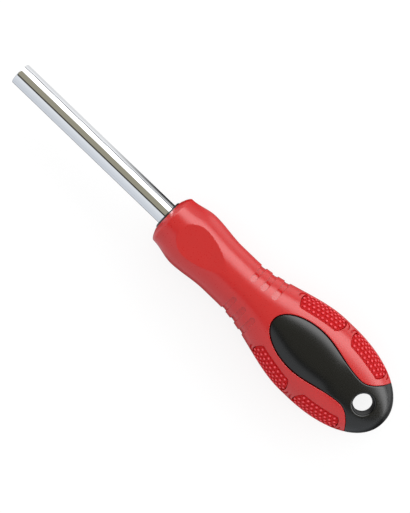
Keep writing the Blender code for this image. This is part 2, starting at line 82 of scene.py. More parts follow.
class Side(Enum):
    """The two sides of the handle, seen with the window up and the tip in front."""

    LEFT = 1
    RIGHT = -1


class Face(Enum):
    """The window face of the handle, and its back."""

    TOP = 1
    BOTTOM = -1


class End(Enum):
    """The two pads that lie one behind the other on each side."""

    FRONT = "front"
    REAR = "rear"


# Working by hand: selection, edit mode and modifiers


def activate(piece: Piece) -> None:
    """Select one object alone and make it active."""
    bpy.ops.object.select_all(action="DESELECT")
    piece.select_set(True)
    bpy.context.view_layer.objects.active = piece


@contextmanager
def editing(piece: Piece, test: FaceTest | None = None) -> Iterator[None]:
    """Go into edit mode on a piece, with all of it selected, or the faces that pass a test."""
    activate(piece)
    bpy.ops.object.mode_set(mode="EDIT")
    bpy.ops.mesh.select_mode(type="FACE")
    bpy.ops.mesh.select_all(action="DESELECT" if test else "SELECT")
    if test:
        bpy.ops.object.mode_set(mode="OBJECT")
        for face in piece.data.polygons:
            face.select = test(face)
        bpy.ops.object.mode_set(mode="EDIT")
    yield
    bpy.ops.object.mode_set(mode="OBJECT")


def primitive(add: Callable[..., Any], name: str, **settings: Any) -> Piece:
    """Add a primitive by its operator, with nothing else selected, and name it and its mesh."""
    bpy.ops.object.select_all(action="DESELECT")
    add(**settings)
    piece = bpy.context.object
    piece.name = piece.data.name = name
    return piece


def add_object(name: str, data: bpy.types.ID) -> Piece:
    """Put a mesh, a lamp or a camera into the scene as an object."""
    made = bpy.data.objects.new(name, data)
    bpy.context.scene.collection.objects.link(made)
    return made


def cut(piece: Piece, cutter: Piece, operation: str = "DIFFERENCE") -> None:
    """Cut a piece with another closed object, or join it on by UNION, and remove that object."""
    boolean = piece.modifiers.new(cutter.name, "BOOLEAN")
    boolean.operation = operation
    boolean.object = cutter
    boolean.solver = "EXACT"
    activate(piece)
    bpy.ops.object.modifier_apply(modifier=boolean.name)
    bpy.data.objects.remove(cutter, do_unlink=True)


def join(pieces: Sequence[Piece]) -> Piece:
    """Join several objects into the first one."""
    activate(pieces[0])
    for piece in pieces[1:]:
        piece.select_set(True)
    bpy.ops.object.join()
    return pieces[0]


def close_seams(piece: Piece) -> None:
    """Merge corners that meet, drop faces of no size and turn all faces outward."""
    with editing(piece):
        bpy.ops.mesh.remove_doubles(threshold=MERGE)
        bpy.ops.mesh.dissolve_degenerate(threshold=MERGE)
        bpy.ops.mesh.select_all(action="SELECT")
        bpy.ops.mesh.normals_make_consistent(inside=False)


def smooth(piece: Piece, degrees: float) -> None:
    """Shade a piece smooth, with the edges sharper than an angle left crisp."""
    activate(piece)
    bpy.ops.object.shade_smooth_by_angle(angle=math.radians(degrees))


def extrude(levels: int) -> None:
    """Extrude the selected faces upward, one unit for each level."""
    for _ in range(levels):
        bpy.ops.mesh.extrude_region_move(TRANSFORM_OT_translate={"value": (0.0, 0.0, 1.0)})


def shape(piece: Piece, rule: Rule) -> None:
    """Move each corner of a piece to the place that a rule gives it."""
    for corner in piece.data.vertices:
        corner.co = rule(*corner.co)


def bent_slab(name: str, columns: int, rows: int, rule: Rule, levels: int = 1,
              closed: bool = True) -> Piece:
    """Extrude a grid from -1 to 1 upward, one unit for each level, and bend it by a rule.

    Args:
        name: the object's name.
        columns: cells along X.
        rows: cells along Y.
        rule: gives each corner its place from (u, v, level).
        levels: how many times the whole grid is extruded.
        closed: whether its seams are closed at once.

    Returns:
        The bent slab.
    """
    piece = primitive(bpy.ops.mesh.primitive_grid_add, name, x_subdivisions=columns,
                      y_subdivisions=rows, size=2.0)
    with editing(piece):
        extrude(levels)
    shape(piece, rule)
    if closed:
        close_seams(piece)
    return piece


def turned(name: str, profile: Pairs, steps: int = ROUND_SIDES) -> Piece:
    """Spin a profile about the tool's axis, as on a lathe.

    Args:
        name: the object's name.
        profile: points of (x, radius), from one end to the other.
        steps: how many steps make the whole turn.

    Returns:
        The closed turned piece.
    """
    mesh = bpy.data.meshes.new(name)
    points = [(x, 0.0, radius) for x, radius in profile]
    mesh.from_pydata(points, [(index, index + 1) for index in range(len(points) - 1)], [])
    piece = add_object(name, mesh)
    activate(piece)
    bpy.ops.object.mode_set(mode="EDIT")
    bpy.ops.mesh.select_mode(type="VERT")
    bpy.ops.mesh.select_all(action="SELECT")
    bpy.ops.mesh.spin(steps=steps, angle=4.0 * QUARTER, center=(0.0, 0.0, 0.0), axis=(1.0, 0.0, 0.0))
    bpy.ops.object.mode_set(mode="OBJECT")
    close_seams(piece)
    return piece


def lay_down(piece: Piece, x: float) -> Piece:
    """Turn a piece that stands on Z to lie along the tool's axis, with its middle at a place."""
    piece.data.transform(Matrix.Translation((x, 0.0, 0.0)) @ Matrix.Rotation(QUARTER, 4, "Y"))
    return piece


def bar(name: str, front: float, rear: float, radius: float, sides: int = ROUND_SIDES) -> Piece:
    """Add a round or hexagonal bar that lies along the tool's axis between two places."""
    piece = primitive(bpy.ops.mesh.primitive_cylinder_add, name, vertices=sides, radius=radius,
                      depth=front - rear)
    return lay_down(piece, (front + rear) / 2.0)


def spread(start: float, end: float, steps: int) -> list[float]:
    """Return values at even steps from a start up to an end, without the end."""
    return [start + (end - start) * step / steps for step in range(steps)]


def eased(start: float, end: float, share: float) -> float:
    """Return the value a share of the way along an S-shaped change."""
    share = min(max(share, 0.0), 1.0)
    return start + (end - start) * share * share * (3.0 - 2.0 * share)


def rounded_edge(distance: float, radius: float) -> float:
    """Return how far a quarter-round edge lies below the surface at a distance from the edge."""
    if distance >= radius:
        return 0.0
    left = radius - distance
    return radius - math.sqrt(max(radius * radius - left * left, 0.0))


# Materials: one function for a colour, one for a node


def colour(code: str, level: float = 1.0) -> tuple[float, float, float, float]:
    """Turn an sRGB colour, as #RRGGBB, to linear values times a level, and an alpha of 1."""
    values = []
    for start in (1, 3, 5):
        value = int(code[start:start + 2], 16) / 255.0
        linear = value / 12.92 if value <= 0.04045 else ((value + 0.055) / 1.055) ** 2.4
        values.append(linear * level)
    return values[0], values[1], values[2], 1.0


def add_node(tree: Tree, kind: str, inputs: dict[Any, Any] | None = None,
             **settings: Any) -> bpy.types.Node:
    """Add a node with its settings, and give its sockets values or links.

    Args:
        tree: the node tree.
        kind: the node's type.
        inputs: socket name or number to a value, or to another node's output.
        settings: properties of the node itself.

    Returns:
        The new node.
    """
    node = tree.nodes.new(kind)
    for name, value in settings.items():
        setattr(node, name, value)
    for name, value in (inputs or {}).items():
        if isinstance(value, Socket):
            tree.links.new(value, node.inputs[name])
        else:
            node.inputs[name].default_value = value
    return node


def calculate(tree: Tree, operation: str, first: Any, second: Any) -> Socket:
    """Work out two numbers, each a value or a node's output, by an operation of the Math node."""
    return add_node(tree, "ShaderNodeMath", {0: first, 1: second}, operation=operation).outputs[0]


def remap(tree: Tree, value: Socket, start: float, end: float, first: float = 0.0,
          last: float = 1.0, curve: str = "LINEAR") -> Socket:
    """Turn values from a start to an end to values from a first to a last one."""
    limits = {"Value": value, "From Min": start, "From Max": end, "To Min": first, "To Max": last}
    return add_node(tree, "ShaderNodeMapRange", limits, interpolation_type=curve).outputs[0]


def noise(tree: Tree, place: Socket, scale: float, detail: float) -> Socket:
    """Add a noise pattern."""
    return add_node(tree, "ShaderNodeTexNoise",
                    {"Vector": place, "Scale": scale, "Detail": detail}).outputs[0]


def mix_colours(tree: Tree, share: Socket, first: Any, second: Any) -> Socket:
    """Mix two colours, each a value or a node's output."""
    return add_node(tree, "ShaderNodeMix", {0: share, 6: first, 7: second}, data_type="RGBA").outputs[2]


def colour_ramp(tree: Tree, value: Socket, unit: float,
                stops: Sequence[tuple[float, tuple[float, ...]]]) -> Socket:
    """Turn a distance or an angle to a colour.

    Args:
        tree: the node tree.
        value: the distance in metres or the angle in radians.
        unit: the size of the unit that the stops are given in.
        stops: places in that unit, and the linear colour at each.
    """
    low, high = stops[0][0], stops[-1][0]
    ramp = add_node(tree, "ShaderNodeValToRGB", {0: remap(tree, value, low * unit, high * unit)})
    for place, _ in stops[1:-1]:
        ramp.color_ramp.elements.new((place - low) / (high - low))
    for stop, (place, shade) in zip(ramp.color_ramp.elements, stops):
        stop.position = (place - low) / (high - low)
        stop.color = shade
    return ramp.outputs[0]


def mix_by_ray(tree: Tree, ray: str, share: float, usual: Socket, special: Socket) -> Socket:
    """Show one kind of ray another shader.

    Args:
        tree: the node tree.
        ray: the light path output that picks the kind of ray.
        share: how much of the other shader that kind of ray gets.
        usual: the shader for all other rays.
        special: the other shader.
    """
    part = calculate(tree, "MULTIPLY", add_node(tree, "ShaderNodeLightPath").outputs[ray], share)
    return add_node(tree, "ShaderNodeMixShader", {0: part, 1: usual, 2: special}).outputs[0]


def relief(tree: Tree, pattern: Socket, roughness: float, swing: float,
           height_mm: float) -> tuple[Socket, Socket]:
    """Let a fine noise pattern break up the gloss of a surface.

    Args:
        tree: the node tree.
        pattern: the noise.
        roughness: the middle roughness.
        swing: how far the roughness goes either way.
        height_mm: how deep the pattern is.

    Returns:
        The roughness and the normal.
    """
    gloss = remap(tree, pattern, *NOISE_RANGE, roughness - swing, roughness + swing)
    bump = add_node(tree, "ShaderNodeBump", {"Height": pattern, "Strength": 1.0, "Distance": height_mm * MM})
    return gloss, bump.outputs[0]


def new_material(name: str) -> tuple[bpy.types.Material, Tree, Socket]:
    """Make an empty node material, and return it with its tree and its Object coordinates."""
    material = bpy.data.materials.new(name)
    material.use_nodes = True
    tree = material.node_tree
    tree.nodes.clear()
    return material, tree, add_node(tree, "ShaderNodeTexCoord").outputs["Object"]


@dataclass(frozen=True)
class MouldedFinish:
    """A moulded plastic or rubber: two close colours, a satin gloss and a fine moulded grain.

    The mottle gives the eye the slight unevenness of pigment in a moulding. The grain breaks the
    gloss up, as the spark-eroded face of the mould does.
    """

    name: str
    light: str
    dark: str
    roughness: float
    roughness_swing: float
    specular: float
    mottle_mm: float
    grain_mm: float
    grain_height_mm: float = 0.003
    polish: float = 0.0

    def pigment(self, tree: Tree, place: Socket) -> Socket:
        """Mix the two close colours by a soft mottle."""
        mottle = noise(tree, place, 1.0 / (self.mottle_mm * MM), 3.0)
        return mix_colours(tree, mottle, colour(self.light), colour(self.dark))

    def material(self) -> bpy.types.Material:
        """Build the finish as a node material."""
        made, tree, place = new_material(self.name)
        grain = noise(tree, place, 1.0 / (self.grain_mm * MM), 2.0)
        roughness, normal = relief(tree, grain, self.roughness, self.roughness_swing, self.grain_height_mm)
        if self.polish:
            smoothed = add_node(tree, "ShaderNodeAttribute", attribute_name=POLISH)
            roughness = add_node(tree, "ShaderNodeMix", {0: smoothed.outputs["Fac"], 2: roughness,
                                                         3: self.polish}).outputs[0]
        shader = add_node(tree, "ShaderNodeBsdfPrincipled",
                          {"Base Color": self.pigment(tree, place), "Roughness": roughness,
                           "Normal": normal, "Specular IOR Level": self.specular})
        add_node(tree, "ShaderNodeOutputMaterial", {"Surface": shader.outputs[0]})
        return made


@dataclass(frozen=True)
class StuddedFinish(MouldedFinish):
    """A moulded rubber whose studs are painted paler on top, as a painted highlight where light falls on
    them.
    """

    # The colour of the painted highlight on the stud tops, and the share of the stud's height where it begins
    top: str = "#FFFFFF"
    painted_highlight_start: float = 0.35

    def pigment(self, tree: Tree, place: Socket) -> Socket:
        """Paint a highlight: turn the mottled colour paler towards the tops, by the height kept with the
        mesh.
        """
        base = super().pigment(tree, place)
        height = add_node(tree, "ShaderNodeAttribute", attribute_name=RELIEF)
        # How far the painted highlight has come in, by the stud's height
        rise = remap(tree, height.outputs["Fac"], self.painted_highlight_start, 1.0, curve="SMOOTHSTEP")
        return mix_colours(tree, rise, base, colour(self.top))


@dataclass(frozen=True)
class MetalFinish:
    """A bare or plated metal, with polishing lines that run round the tool's axis.

    The lines are stretched noise: close together along the axis and long around it. They give
    the reflections their slight spread across the bar.
    """

    name: str
    base: str
    roughness: float
    roughness_swing: float
    line_mm: float
    line_height_mm: float
    stretch: float = 30.0

    def material(self) -> bpy.types.Material:
        """Build the finish as a node material."""
        made, tree, place = new_material(self.name)
        along = 1.0 / (self.line_mm * MM)
        around = along / self.stretch
        stretched = add_node(tree, "ShaderNodeMapping", {"Vector": place, "Scale": (along, around, around)})
        lines = noise(tree, stretched.outputs[0], 1.0, 3.0)
        roughness, normal = relief(tree, lines, self.roughness, self.roughness_swing, self.line_height_mm)
        shader = add_node(tree, "ShaderNodeBsdfPrincipled",
                          {"Base Color": colour(self.base), "Metallic": 1.0, "Roughness": roughness,
                           "Normal": normal})
        add_node(tree, "ShaderNodeOutputMaterial", {"Surface": shader.outputs[0]})
        return made


WHITE = colour("#FFFFFF")

# Decorative chrome over ground steel: a mirror, a touch blue, with hardly any spread
CHROME_PLATE = MetalFinish("chrome_plated_steel", "#E9EBEE", roughness=0.07, roughness_swing=0.02,
                           line_mm=0.4, line_height_mm=0.0004)
# Nickel on a sintered magnet: warmer and duller than chrome, with a tumbled face
NICKEL_PLATE = MetalFinish("nickel_plated_magnet", "#C9C2B4", roughness=0.24, roughness_swing=0.05,
                           line_mm=0.25, line_height_mm=0.003)
# Drawn and tempered spring wire: dark grey steel with a satin face
SPRING_STEEL = MetalFinish("tempered_spring_steel", "#8A8A8C", roughness=0.33, roughness_swing=0.06,
                           line_mm=0.2, line_height_mm=0.002)
# Black polypropylene from a lightly etched mould: nearly black, with a broad soft gloss
BLACK_POLYPROPYLENE = MouldedFinish(
    "black_polypropylene_moulded", light="#08090A", dark="#050607", roughness=0.28, roughness_swing=0.03,
    specular=0.55, mottle_mm=6.0, grain_mm=0.45)
# Red thermoplastic rubber from a fine matt mould: saturated, with a milky gloss towards the light
SOFT_RED_RUBBER = MouldedFinish(
    "red_rubber_moulded_matt", light="#B20505", dark="#AC0505", roughness=0.31, roughness_swing=0.04,
    specular=0.72, mottle_mm=7.0, grain_mm=0.5, polish=0.15)
# The same rubber in a deeper red, for the studs: a saturated field, with the stud tops painted paler as a
# painted highlight
DEEP_RED_RUBBER = StuddedFinish(
    "deep_red_rubber_moulded", light="#B2080E", dark="#AA070C", roughness=0.38, roughness_swing=0.04,
    specular=0.12, mottle_mm=5.0, grain_mm=0.5, top="#E0525A")


# The handle's form, the same in every piece that lies in its skin


@dataclass(frozen=True)
class HandleForm:
    """The outer skin of the handle. Places on it are distances back from its front face."""

    face_x: float = -70.5 * MM
    length: float = 120.0 * MM
    face_radius: float = 5.2 * MM
    shoulder_length: float = 3.2 * MM
    shoulder_radius: float = 11.3 * MM
    shoulder_power: float = 1.75
    guard_back: float = 14.52 * MM
    guard_radius: float = 13.1 * MM
    neck_front: float = 30.96 * MM
    neck_rear: float = 39.0 * MM
    neck_radius: float = 11.7 * MM
    belly_front: float = 81.0 * MM
    belly_rear: float = 85.0 * MM
    belly_radius: float = 19.4 * MM
    dome_power: float = 2.15
    belly_flat: float = 0.76
    butt_flat: float = 0.60
    neck_power: float = 2.0
    belly_power: float = 2.3

    def swell(self, back: float) -> float:
        """Return how far the neck has turned into the belly, from below 0 to above 1."""
        return (back - self.neck_rear) / (self.belly_front - self.neck_rear)

    def half_width(self, back: float) -> float:
        """Return half the width at a place."""
        if back <= self.shoulder_length:
            left = max(1.0 - back / self.shoulder_length, 0.0)
            rise = self.shoulder_radius - self.face_radius
            return self.face_radius + rise * (1.0 - left ** self.shoulder_power)
        waves = ((self.shoulder_length, self.shoulder_radius), (self.guard_back, self.guard_radius),
                 (self.neck_front, self.neck_radius))
        for (start, first), (end, last) in zip(waves, waves[1:]):
            if back <= end:
                return eased(first, last, (back - start) / (end - start))
        if back <= self.belly_rear:
            return eased(self.neck_radius, self.belly_radius, self.swell(back))
        gone = min((back - self.belly_rear) / (self.length - self.belly_rear), 1.0)
        return self.belly_radius * (1.0 - gone ** self.dome_power) ** (1.0 / self.dome_power)

    def half_thickness(self, back: float) -> float:
        """Return half the thickness at a place."""
        fall = (back - self.belly_front) / (self.length - self.belly_front)
        share = eased(1.0, self.belly_flat, self.swell(back))
        share += eased(0.0, self.butt_flat - self.belly_flat, fall)
        return self.half_width(back) * share

    def power(self, back: float) -> float:
        """Return the power of the squarish oval section at a place."""
        return eased(self.neck_power, self.belly_power, self.swell(back))

    def point(self, back: float, angle: float, depth: float = 0.0) -> Vector:
        """Return a point under the skin.

        Args:
            back: distance back from the front face.
            angle: angle about the axis, turned from +Z towards +Y.
            depth: how far the section is shrunk.

        Returns:
            The point in the tool's frame.
        """
        across, up = math.sin(angle), math.cos(angle)
        power = self.power(back)
        reach = (abs(across) ** power + abs(up) ** power) ** (-1.0 / power)
        return Vector((self.face_x - back,
                       (self.half_width(back) - depth) * across * reach,
                       (self.half_thickness(back) - depth) * up * reach))

    def depth(self, point: Vector) -> float:
        """Return about how deep a point lies under the skin."""
        back = self.face_x - point.x
        power = self.power(back)
        across, up = point.y / self.half_width(back), point.z / self.half_thickness(back)
        share = abs(across) ** power + abs(up) ** power
        return (1.0 - share ** (1.0 / power)) * math.hypot(point.y, point.z)

    def normal(self, back: float, angle: float) -> Vector:
        """Return the outward direction of the skin at a point."""
        step = 0.05 * MM
        turn = 0.002
        along = self.point(back + step, angle) - self.point(back - step, angle)
        around = self.point(back, angle + turn) - self.point(back, angle - turn)
        return along.cross(around).normalized() * -1.0

    def share_at(self, back: float, y: float) -> float:
        """Return what a distance across takes up of the section's sum of powers, up to 1."""
        return min(abs(y) / max(self.half_width(back), MERGE), 1.0) ** self.power(back)

    def angle_at(self, back: float, y: float) -> float:
        """Return the angle, up to a quarter turn, at which the upper skin has a distance across."""
        share = self.share_at(back, y)
        if share >= NEARLY_ALL:
            return QUARTER
        return math.atan((share / (1.0 - share)) ** (1.0 / self.power(back)))

    def height(self, back: float, y: float) -> float:
        """Return how high the upper skin stands above the tool's axis plane."""
        return self.half_thickness(back) * (1.0 - self.share_at(back, y)) ** (1.0 / self.power(back))


@dataclass(frozen=True)
class WindowOutline:
    """The outline of the black window and butt on the face of the handle, seen from above."""

    form: HandleForm
    growth: float = 0.0
    front: float = 59.2 * MM
    widest: float = 77.4 * MM
    widest_half: float = 9.9 * MM
    waist: float = 101.0 * MM
    waist_half: float = 6.1 * MM
    flare_length: float = 10.0 * MM
    flare_rise: float = 7.4 * MM
    # Rows of corners along the nose and on to the waist, and the steps that distances are measured to
    nose_steps: int = 42
    waist_steps: int = 40
    path_steps: tuple[int, int] = (60, 90)
    halvings: int = 50

    @property
    def tip(self) -> float:
        """Where the outline begins."""
        return self.front - self.growth

    def half(self, back: float) -> float:
        """Return the outline's half width at a place, without regard to the silhouette."""
        if back <= self.tip:
            return 0.0
        if back <= self.widest:
            left = (self.widest - back) / (self.widest - self.tip)
            return (self.widest_half + self.growth) * math.sqrt(max(1.0 - left * left, 0.0))
        if back <= self.waist:
            share = (back - self.widest) / (self.waist - self.widest)
            return eased(self.widest_half, self.waist_half, share) + self.growth
        along = (back - self.waist) / self.flare_length
        return self.waist_half + self.flare_rise * along * along + self.growth

    def meet(self) -> float:
        """Return the place where the outline runs out at the silhouette."""
        low, high = self.waist, self.form.length
        for _ in range(self.halvings):
            middle = (low + high) / 2.0
            if self.half(middle) < self.form.half_width(middle):
                low = middle
            else:
                high = middle
        return low

    def border_angle(self, back: float) -> float:
        """Return the angle at which the outline crosses the upper skin."""
        if back <= self.tip:
            return 0.0
        if back >= self.meet():
            return QUARTER
        return self.form.angle_at(back, self.half(back))

    def nose(self, steps: int) -> list[float]:
        """Return places from the tip to the widest place, close together near the tip."""
        reach = self.widest - self.tip
        return [self.widest - reach * math.cos(turn) for turn in spread(0.0, QUARTER, steps)]

    def stations(self, flare_steps: int) -> list[float]:
        """Return places from the tip to the silhouette, close together near both ends."""
        meet = self.meet()
        flare = [meet - (meet - self.waist) * (1.0 - share) ** 2 for share in spread(0.0, 1.0, flare_steps)]
        return self.nose(self.nose_steps) + spread(self.widest, self.waist, self.waist_steps) + flare

    def path(self) -> np.ndarray:
        """Return the outline of one side as corners of (back, half width)."""
        front, rear = self.path_steps
        places = self.nose(front) + spread(self.widest, self.meet(), rear) + [self.meet()]
        return np.array([(back, self.half(back)) for back in places])

    def distance(self, back: float, y: float, path: np.ndarray) -> float:
        """Return how far a point, seen from above, is from the outline."""
        start, end = path[:-1], path[1:]
        run = end - start
        reach = np.array((back, abs(y))) - start
        share = np.clip((reach * run).sum(1) / (run * run).sum(1), 0.0, 1.0)
        gap = reach - run * share[:, None]
        return float(np.sqrt((gap * gap).sum(1).min()))


FORM = HandleForm()
# Rows and columns of corners lie this far from a border, and further off evenly spread
EDGE_OFFSETS = tuple(value * MM for value in (0.0, 0.05, 0.13, 0.24, 0.38, 0.55, 0.8))
EDGE_SHARE = 0.2


def fan(start: float, end: float, half_width: float, cells: int, column: int) -> float:
    """Return the angle of a column of corners that are close together near both borders.

    Args:
        start: the first border's angle.
        end: the second border's angle.
        half_width: the handle's half width there, which turns lengths to angles.
        cells: how many cells lie between the borders.
        column: the number of the column.
    """
    span = end - start
    edge = len(EDGE_OFFSETS) - 1
    offsets = [offset / max(half_width, MERGE) for offset in EDGE_OFFSETS]
    scale = min(1.0, EDGE_SHARE * span / offsets[-1])
    if column <= edge:
        return start + offsets[column] * scale
    if column >= cells - edge:
        return end - offsets[cells - column] * scale
    share = (column - edge) / (cells - 2 * edge)
    return start + offsets[-1] * scale + (span - 2.0 * offsets[-1] * scale) * share


def slab_place(u: float, v: float, stations: Sequence[float], columns: int) -> tuple[float, int]:
    """Return the station and the number of the column at which a corner of a slab belongs."""
    return stations[round((u + 1.0) / 2.0 * (len(stations) - 1))], round((v + 1.0) / 2.0 * columns)


@dataclass
class GripSleeve:
    """The soft red skin with its scoops, finger grooves and pad pockets."""

    form: HandleForm = FORM
    # Rows of corners on the shoulder, the neck and the flare, and columns from window to window
    shoulder_rows: int = 12
    neck_rows: int = 98
    flare_rows: int = 22
    columns: int = 72
    scoop_cells: tuple[int, int] = (48, 24)
    groove_cells: tuple[int, int] = (10, 64)
    wall: float = 3.0 * MM
    face_back: float = 0.7 * MM
    nose_radius: float = 6.82 * MM
    nose_length: float = 3.5 * MM
    outline_gap: float = 0.14 * MM
    lip: float = 0.35 * MM
    scoop_back: float = 21.24 * MM
    scoop_half_length: float = 14.0 * MM
    scoop_depth: float = 1.7 * MM
    scoop_sag: float = 1.3 * MM
    groove_front: float = 42.6 * MM
    groove_pitch: float = 5.5 * MM
    groove_count: int = 3
    groove_half_width: float = 1.25 * MM
    groove_depth: float = 0.52 * MM
    groove_wall: float = 0.36 * MM
    groove_inner_angle: float = 22.0 * DEGREE
    # A face this far under the skin, among the grooves, belongs to a groove
    floor_depths: tuple[float, float] = (0.05 * MM, 0.624 * MM)
    overrun: float = 0.8 * MM

    def __post_init__(self) -> None:
        self.outline = WindowOutline(self.form, self.outline_gap)
        self.path = self.outline.path()

    def stations(self) -> list[float]:
        """Return the places of the skin's rings of corners, front to rear."""
        tip = self.outline.tip
        shoulder = self.form.shoulder_length - self.face_back
        return ([self.face_back + shoulder * (1.0 - math.cos(turn))
                 for turn in spread(0.0, QUARTER, self.shoulder_rows)]
                + spread(self.form.shoulder_length, tip - EDGE_OFFSETS[-1], self.neck_rows)
                + [tip - offset for offset in reversed(EDGE_OFFSETS[1:])]
                + self.outline.stations(self.flare_rows)
                + [self.outline.meet()])

    def inner_point(self, back: float, share: float) -> Vector:
        """Return a point of the inner face, a share of the way round from the upper border."""
        if back < self.nose_length:
            angle = math.pi * share
            return Vector((self.form.face_x - back, self.nose_radius * math.sin(angle),
                           self.nose_radius * math.cos(angle)))
        border = self.outline.half(back)
        width = self.form.half_width(back) - self.wall
        if border >= width:
            return Vector((self.form.face_x - back, min(border, self.form.half_width(back)), 0.0))
        power = self.form.power(back)
        part = (border / width) ** power
        start = math.atan((part / (1.0 - part)) ** (1.0 / power))
        return self.form.point(back, start + (math.pi - 2.0 * start) * share, self.wall)

    def half_skin(self, side: Side) -> Piece:
        """Make one side of the sleeve as a slab bent round the handle."""
        stations = self.stations()

        def rule(u: float, v: float, level: float) -> Vector:
            back, column = slab_place(u, v, stations, self.columns)
            if level < 0.5:
                point = self.inner_point(back, column / self.columns)
            else:
                start = self.outline.border_angle(back)
                angle = fan(start, math.pi - start, self.form.half_width(back), self.columns, column)
                point = self.form.point(back, angle)
                if back > self.outline.tip - self.lip:
                    sunk = rounded_edge(self.outline.distance(back, point.y, self.path), self.lip)
                    point.z -= math.copysign(min(sunk, abs(point.z) / 2.0), point.z)
            return Vector((point.x, side.value * point.y, point.z))

        piece = bent_slab("grip_sleeve_" + side.name.lower(), len(stations) - 1, self.columns, rule,
                          closed=False)
        corners = piece.data.vertices
        with editing(piece, lambda face: all(abs(corners[number].co.y) < MERGE for number in face.vertices)):
            bpy.ops.mesh.delete(type="FACE")
        return piece

    def scoop_cutter(self, face: Face) -> Piece:
        """Make the cutter of a thumb scoop, a bar with a gently bowed underside."""
        floor = self.form.half_width(self.scoop_back) - self.scoop_depth
        half = self.form.guard_radius

        def rule(u: float, v: float, level: float) -> Vector:
            height = half + self.overrun if level > 0.5 else floor + self.scoop_sag * u * u
            return Vector((self.form.face_x - self.scoop_back + self.scoop_half_length * u,
                           half * v, face.value * height))

        return bent_slab("scoop_cutter", *self.scoop_cells, rule)

    def groove_cutter(self, back: float, side: Side) -> Piece:
        """Make the cutter of one finger groove, with rounded ends and a rounded floor."""
        half_sweep = QUARTER - self.groove_inner_angle
        end_angle = self.groove_half_width / self.form.half_width(back)

        def rule(u: float, v: float, level: float) -> Vector:
            along = math.sin(v * QUARTER)
            near_end = max(abs(along) * half_sweep - (half_sweep - end_angle), 0.0) / end_angle
            narrowed = math.sqrt(max(1.0 - near_end * near_end, 0.0))
            across = math.sin(u * QUARTER) * narrowed
            fall = math.sqrt(max(1.0 - across * across - near_end * near_end, 0.0))
            floor = self.groove_wall + (self.groove_depth - self.groove_wall) * fall
            depth = -self.overrun if level > 0.5 else floor
            angle = side.value * (QUARTER + along * half_sweep)
            return self.form.point(back + across * self.groove_half_width, angle, depth)

        return bent_slab("groove_cutter", *self.groove_cells, rule)

    def mark_grooves(self, sleeve: Piece) -> None:
        """Mark the floors of the finger grooves, which the mould leaves smoother than the skin."""
        first = self.groove_front - self.groove_half_width
        last = self.groove_front + (self.groove_count - 1) * self.groove_pitch + self.groove_half_width
        shallowest, deepest = self.floor_depths
        marks = sleeve.data.attributes.new(POLISH, "FLOAT", "FACE")
        for face, mark in zip(sleeve.data.polygons, marks.data):
            if first < self.form.face_x - face.center.x < last:
                mark.value = float(shallowest < self.form.depth(face.center) < deepest)

    def build(self, pads: Sequence["StudPad"]) -> Piece:
        """Make the sleeve, cut with its scoops, its grooves and the pads' pockets."""
        sleeve = join([self.half_skin(side) for side in Side])
        sleeve.name = "grip_sleeve_moulding"
        close_seams(sleeve)
        cutters = [self.scoop_cutter(face) for face in Face]
        for side in Side:
            for index in range(self.groove_count):
                cutters.append(self.groove_cutter(self.groove_front + index * self.groove_pitch, side))
        cutters += [pad.pocket_cutter() for pad in pads]
        cut(sleeve, join(cutters))
        cut(sleeve, join([groove for pad in pads for groove in pad.horn_grooves()]))
        self.mark_grooves(sleeve)
        smooth(sleeve, degrees=30.0)
        return sleeve


